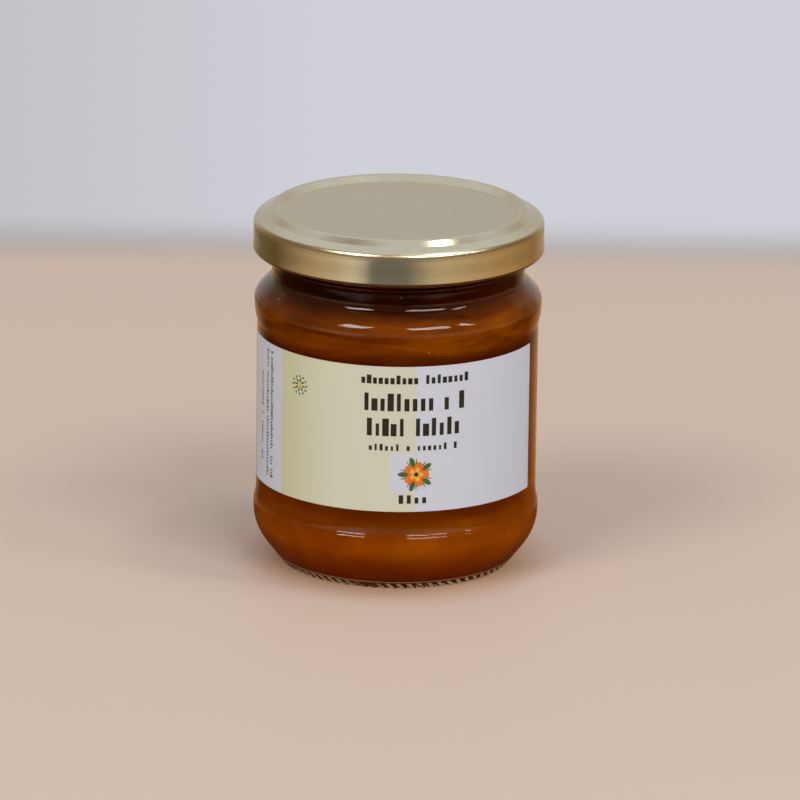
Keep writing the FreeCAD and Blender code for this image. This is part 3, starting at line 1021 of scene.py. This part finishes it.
# %% Layout of the rows
# name, first bearing in degrees, level in mm, marks, pitch, height, turn, narrow, wide, gaps,
# seed, ink
ROWS = [
    ("small line", -13.6, 43.6, 19, 1.13, 1.75, 0.0, 0.5, 0.8, 0.12, 5, DARK),
    ("large line a", -12.2, 39.1, 13, 1.56, 3.5, 0.0, 0.4, 0.82, 0.1, 23, DARK),
    ("large line b", -10.9, 34.1, 12, 1.56, 3.5, 0.0, 0.4, 0.82, 0.1, 9, DARK),
    ("thin line", -10.4, 30.1, 17, 1.04, 1.3, 0.0, 0.35, 0.6, 0.14, 12, DARK),
    ("foot line", 2.2, 19.7, 4, 1.5, 1.7, 0.0, 0.45, 0.7, 0.0, 31, DARK),
    ("strip line a", -61.5, 44.6, 40, 0.64, 0.9, 90.0, 0.4, 0.8, 0.14, 41, GREY),
    ("strip line b", -65.2, 44.6, 40, 0.64, 0.8, 90.0, 0.4, 0.8, 0.16, 47, GREY),
    ("strip line c", -70.8, 39.6, 28, 0.64, 0.7, 90.0, 0.4, 0.8, 0.16, 53, GREY),
]


def printed(name, tree, level_mm, film=0, **values):
    """Print made by a tree, on its own mesh, so many films of ink above the paper."""
    blank = new_object(name, bpy.data.meshes.new(name))
    return apply_tree(blank, tree, {
        **values, "Ink": INK * MM, "Level": level_mm * MM,
        "Radius": (PRINT_R + film * INK * 0.7) * MM})


prints = []
for name, start, level_mm, marks, pitch, tall, turn, narrow, wide, gaps, seed, colour in ROWS:
    prints.append(printed(
        name, row_tree, level_mm, Marks=marks, Pitch=pitch * MM, Tall=tall * MM, Bearing=start,
        Turn=turn, Narrow=narrow, Wide=wide, Gaps=gaps, Seed=seed, Material=colour))

# %% [markdown]
# ## Layout of the ornaments
# The flower and the small seal are listed layer by layer, from the lowest film of ink up. All the
# print is then joined into one mesh that keeps its inks, because it is one printed layer.

# %% Layout of the ornaments
FLOWER = (8.2, 24.7)
SEAL = (-43.0, 40.2)
# name, petals, ring, length, width, start, bearing and level, film above the paper, ink
RINGS = [
    ("leaves", 5, 2.45, 2.2, 1.0, 36.0, FLOWER, 0, LEAF),
    ("stems", 10, 1.9, 2.6, 0.22, 18.0, FLOWER, 1, BROWN),
    ("petals", 5, 1.5, 2.1, 1.7, 0.0, FLOWER, 2, ORANGE),
    ("inner petals", 5, 0.85, 1.1, 0.8, 0.0, FLOWER, 3, YELLOW),
    ("middle", 1, 0.0, 0.9, 0.9, 0.0, FLOWER, 4, BROWN),
    ("seal dots", 12, 1.75, 0.5, 0.4, 0.0, SEAL, 0, GREY),
    ("seal ring", 8, 0.95, 0.9, 0.36, 11.0, SEAL, 0, LEAF),
    ("seal middle", 1, 0.0, 0.8, 0.8, 0.0, SEAL, 1, YELLOW),
]
for name, count, ring, long, wide, start, (bearing_deg, level_mm), film, colour in RINGS:
    prints.append(printed(
        name, petal_tree, level_mm, film, Petals=count, Ring=ring * MM, Long=long * MM,
        Wide=wide * MM, Start=start, Bearing=bearing_deg, Material=colour))

label_print = prints[0]
with bpy.context.temp_override(active_object=label_print, selected_editable_objects=prints):
    bpy.ops.object.join()
label_print.name = label_print.data.name = "label_print"
print(label_print.name, "has", len(label_print.data.polygons), "faces and",
      sum(m is not None for m in label_print.data.materials), "inks")

# %% [markdown]
# ## Seeds and bubbles in the jam
# Vanilla seeds and small trapped bubbles sit against the glass. They are scattered on the jam's own
# surface with a fixed seed. Each is a small ball that stands a little out of the jam into the
# wall, so that no air lies between them.

# %% Scattered seeds
BAND = {"Lowest": 4.0 * MM, "Highest": 60.0 * MM}
scatter_tree, scatter = new_tree("scattered on a surface", {
    "Density": 1000.0, "Size": 0.3 * MM, "Least": 0.4, "Seed": 1, **BAND, "Material": "Material"})
z = split(shape(scatter_tree, "InputPosition"))[2]
in_band = between(z, scatter["Lowest"], scatter["Highest"])
size_share = draw(calc("ADD", scatter["Seed"], 5.0), scatter["Least"])
grains = shape(scatter_tree, "InstanceOnPoints", {
    "Points": shape(scatter_tree, "DistributePointsOnFaces", {
        "Mesh": scatter["Geometry"], "Density": scatter["Density"], "Seed": scatter["Seed"]}),
    "Instance": shape(scatter_tree, "MeshIcoSphere", {"Radius": 0.5, "Subdivisions": 2}),
    "Selection": in_band, "Scale": product(size_share, scatter["Size"])})
end_tree(grains, scatter["Material"])

seed_material = mottled("vanilla_seed", 900.0, [(0.4, srgb(24, 8, 2)), (0.65, srgb(60, 24, 6))],
                        Roughness=0.6, Specular_IOR_Level=0.1)
# The bubbles' pale colour is a painted highlight, for the light that small air bubbles catch.
bubble_material = mottled(
    "bubble_in_jam", 700.0, [(0.4, srgb(226, 160, 96)), (0.65, srgb(240, 200, 160))],
    Roughness=0.15, Specular_IOR_Level=0.6)


def scattered(name, density, size, seed, material):
    """Small balls scattered on the jam, as one mesh."""
    return apply_tree(new_object(name, jam.data.copy()), scatter_tree, {
        "Density": density, "Size": size * MM, "Least": 0.4, "Seed": seed, **BAND,
        "Material": material})


seeds = scattered("vanilla_seeds", 7000.0, 0.5, 3, seed_material)
bubbles = scattered("bubbles", 4000.0, 0.42, 11, bubble_material)

# %% [markdown]
# ## The room that gloss shows
# Bright metal and glass show what stands round them. Under a plain pale room they would be veiled
# in grey, so rays of gloss see a room of their own: dim and warm in front of the jar, and behind it
# a pale wall, warmer to its sides, and a ceiling. The near table is dark, but for a patch behind
# the jar, and the far table is bright below the windows and dark between them. The table's colours
# go by bearing from the jar, never by where the camera is.

# %% The room that gloss shows
ROOM_FRONT = srgb(122, 98, 72)
ROOM_SIDE = srgb(150, 138, 104)
ROOM_BACK = srgb(186, 183, 180)
ROOM_CEILING = srgb(204, 209, 218)
# bearing in degrees, and the colour there
NEAR_TABLE = [
    (-180, srgb(190, 150, 110)), (-150, srgb(190, 150, 110)), (-125, srgb(80, 50, 25)),
    (125, srgb(80, 50, 25)), (150, srgb(190, 150, 110)), (180, srgb(190, 150, 110)),
]
FAR_TABLE = [
    (-180, srgb(190, 170, 155)), (-137, srgb(112, 95, 72)), (-108, srgb(98, 83, 48)),
    (-74, srgb(178, 154, 121)), (-50, srgb(200, 184, 160)), (-34, srgb(216, 207, 190)),
    (-25, srgb(184, 179, 169)), (-20, srgb(116, 116, 114)), (6, srgb(118, 118, 112)),
    (14, srgb(156, 146, 132)), (25, srgb(192, 174, 149)), (33, srgb(203, 185, 155)),
    (78, srgb(188, 154, 109)), (129, srgb(150, 117, 75)), (180, srgb(190, 170, 155)),
]


def by_bearing(vector, stops):
    """The colour at the bearing of a vector, seen from the jar."""
    x, y, _ = split(vector)
    turn = calc("ARCTAN2", x, product(y, -1.0))
    place = calc("MULTIPLY_ADD", turn, 1 / math.tau, 0.5)
    return ramp(place, [((degrees + 180) / 360, colour) for degrees, colour in stops])


# %% [markdown]
# ## The table
# The jar stands on a plain pale table whose far edge lies a little behind it. Close to the jar the
# table has the amber of light that came through the jam, painted in, and towards its far edge it is
# darker with painted shade. There it fades into the wall's pale colour. All of that is painted in
# Object coordinates, so that it holds in any view. GLOW and FAR are distances from the jar's axis
# in metres, and SHADED_EDGE and FADE lie straight behind it. Through the glass, most of the table
# is seen as an even pale glow, so that the clear foot isn't filled with the jar's shadow.

# %% Table
TABLE = srgb(210, 187, 171)
AMBER_TABLE = srgb(197, 162, 136)
TABLE_EDGE_SHADE = srgb(160, 146, 138)
TABLE_SIDE = 3.0
TABLE_FRONT = -4.0
TABLE_BACK = 0.30
GLOW = (0.022, 0.034)
SHADED_EDGE = (0.203, 0.238)
FADE = (0.200, 0.256)
FAR = (0.2285, 0.234)
THROUGH_GLASS = 0.8
PALE_STRENGTH = 0.9

table_mesh = bpy.data.meshes.new("table")
table_mesh.from_pydata([
    (-TABLE_SIDE, TABLE_FRONT, 0), (TABLE_SIDE, TABLE_FRONT, 0), (TABLE_SIDE, TABLE_BACK, 0),
    (-TABLE_SIDE, TABLE_BACK, 0)], [], [(0, 1, 2, 3)])
table = new_object("table", table_mesh)
table_material, table_tree, table_shader = new_material(
    "pale_table", Roughness=0.55, Specular_IOR_Level=0.25)
spot = object_spot(table_tree)
y = split(spot)[1]
away = length(spot)
table_colour = mix_colour(share(away, *GLOW), AMBER_TABLE, TABLE)
# Painted shade towards the table's far edge.
table_colour = mix_colour(share(y, *SHADED_EDGE), table_colour, TABLE_EDGE_SHADE)
feed(table_shader.inputs["Base Color"], table_colour)
gone = share(y, *FADE, ease="SMOOTHERSTEP")
clear = add_node(table_tree, "ShaderNodeBsdfTransparent")
table_seen = mix_shader(gone, table_shader.outputs[0], clear.outputs[0])
ray = add_node(table_tree, "ShaderNodeLightPath")
gloss_colour = mix_colour(share(away, *FAR, ease="LINEAR"),
                          by_bearing(spot, NEAR_TABLE), by_bearing(spot, FAR_TABLE))
table_seen = mix_shader(ray.outputs["Is Glossy Ray"], table_seen,
                        emit(table_tree, "ShaderNodeEmission", gloss_colour))
table_seen = mix_shader(product(ray.outputs["Is Transmission Ray"], THROUGH_GLASS), table_seen,
                        emit(table_tree, "ShaderNodeEmission", TABLE, PALE_STRENGTH))
feed(table_tree.nodes["Material Output"].inputs["Surface"], table_seen)
table.data.materials.append(table_material)
print("table edge fades out", FADE[1], "m behind the jar")

# %% [markdown]
# ## The world
# The world does three jobs, and Light Path tells them apart: it lights the scene softly, it shows
# a pale wall to the camera and through glass, and it shows the room to rays of gloss. The wall and
# the room go by direction: the dim front wraps round both sides, and what lies behind the jar or
# above it is pale.

# %% World
WALL_LEFT = srgb(197, 196, 202)
WALL = srgb(207, 208, 216)
SKY_LIGHT = (0.93, 0.96, 1.0, 1)
SKY_STRENGTH = 0.44
WALL_TURNS = (-0.05, 0.0)
SIDE = (0.45, 0.65)
CEILING = (0.35, 0.8)
BACK = (-0.30, -0.16)

world = bpy.data.worlds.new("studio")
bpy.context.scene.world = world
world.use_nodes = True
sky = world.node_tree
lit = sky.nodes["Background"]
lit.inputs["Color"].default_value = SKY_LIGHT
lit.inputs["Strength"].default_value = SKY_STRENGTH
ray = add_node(sky, "ShaderNodeLightPath")
x, y, z = split(add_node(sky, "ShaderNodeTexCoord").outputs["Generated"])
wall = emit(sky, "ShaderNodeBackground", mix_colour(share(x, *WALL_TURNS), WALL_LEFT, WALL))
seen_ray = calc("MAXIMUM", ray.outputs["Is Camera Ray"], ray.outputs["Is Transmission Ray"])
surround = mix_shader(seen_ray, lit.outputs[0], wall)
sideways = calc("ABSOLUTE", x)
far_aside = calc("MAXIMUM", calc("SUBTRACT", sideways, 0.55), 0.0)
behind = calc("MULTIPLY_ADD", sideways, -0.8, y)
behind = calc("MULTIPLY_ADD", far_aside, -1.2, behind)
room_back = mix_colour(share(sideways, *SIDE), ROOM_BACK, ROOM_SIDE)
room_back = mix_colour(share(z, *CEILING), room_back, ROOM_CEILING)
room = emit(sky, "ShaderNodeBackground", mix_colour(share(behind, *BACK), ROOM_FRONT, room_back))
surround = mix_shader(ray.outputs["Is Glossy Ray"], surround, room)
feed(sky.nodes["World Output"].inputs["Surface"], surround)
print("world has", len(sky.nodes), "nodes")

# %% [markdown]
# ## Lamps
# Two wide windows stand to the left and the right of the camera, high up. A small one is further
# round to the right, and another stands higher above it. They are area lamps, which also show as
# the soft streaks on the glass and on the lid.


# %% Lamps
WINDOW_LIGHT = (1.0, 0.98, 0.95)
WINDOW_AWAY = 2.4
AIM = Vector((0, 0, 0.035))


def window(name, bearing_deg, elevation, width, height, power):
    """A rectangular lamp that faces the jar."""
    lamp = bpy.data.lights.new(name, "AREA")
    lamp.shape = "RECTANGLE"
    lamp.size = width
    lamp.size_y = height
    lamp.energy = power
    lamp.color = WINDOW_LIGHT
    piece = new_object(name, lamp)
    angle = math.radians(bearing_deg - 90)
    rise = math.radians(elevation)
    flat = WINDOW_AWAY * math.cos(rise)
    piece.location = (flat * math.cos(angle), flat * math.sin(angle), WINDOW_AWAY * math.sin(rise))
    piece.rotation_euler = (AIM - piece.location).to_track_quat("-Z", "Y").to_euler()


window("left window", -43, 48, 0.82, 0.80, 17.0)
window("right window", 31, 48, 1.15, 0.74, 19.0)
window("small window", 70, 46, 0.24, 0.70, 4.5)
window("high window", 80, 70, 0.42, 0.35, 4.5)
print("four windows")

# %% [markdown]
# ## Hand over
# Each piece rides with the jar, and stands for its node of the model where it replaces one, which
# is then hidden.

# %% Ride and replace
RIDERS = [
    (glass, "clear_glass", ["glass_jar"]),
    (threads, "clear_glass", []),
    (jam, "apricot_jam", ["jam"]),
    (lid, "gold_lacquered_tinplate", ["lid"]),
    (lugs, "gold_lacquered_tinplate", []),
    (label, "label_paper", ["label"]),
    (label_print, "label_paper", []),
    (seeds, "apricot_jam", []),
    (bubbles, "apricot_jam", []),
]
for piece, slot, nodes in RIDERS:
    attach(piece, "root")
    if nodes:
        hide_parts(*nodes)
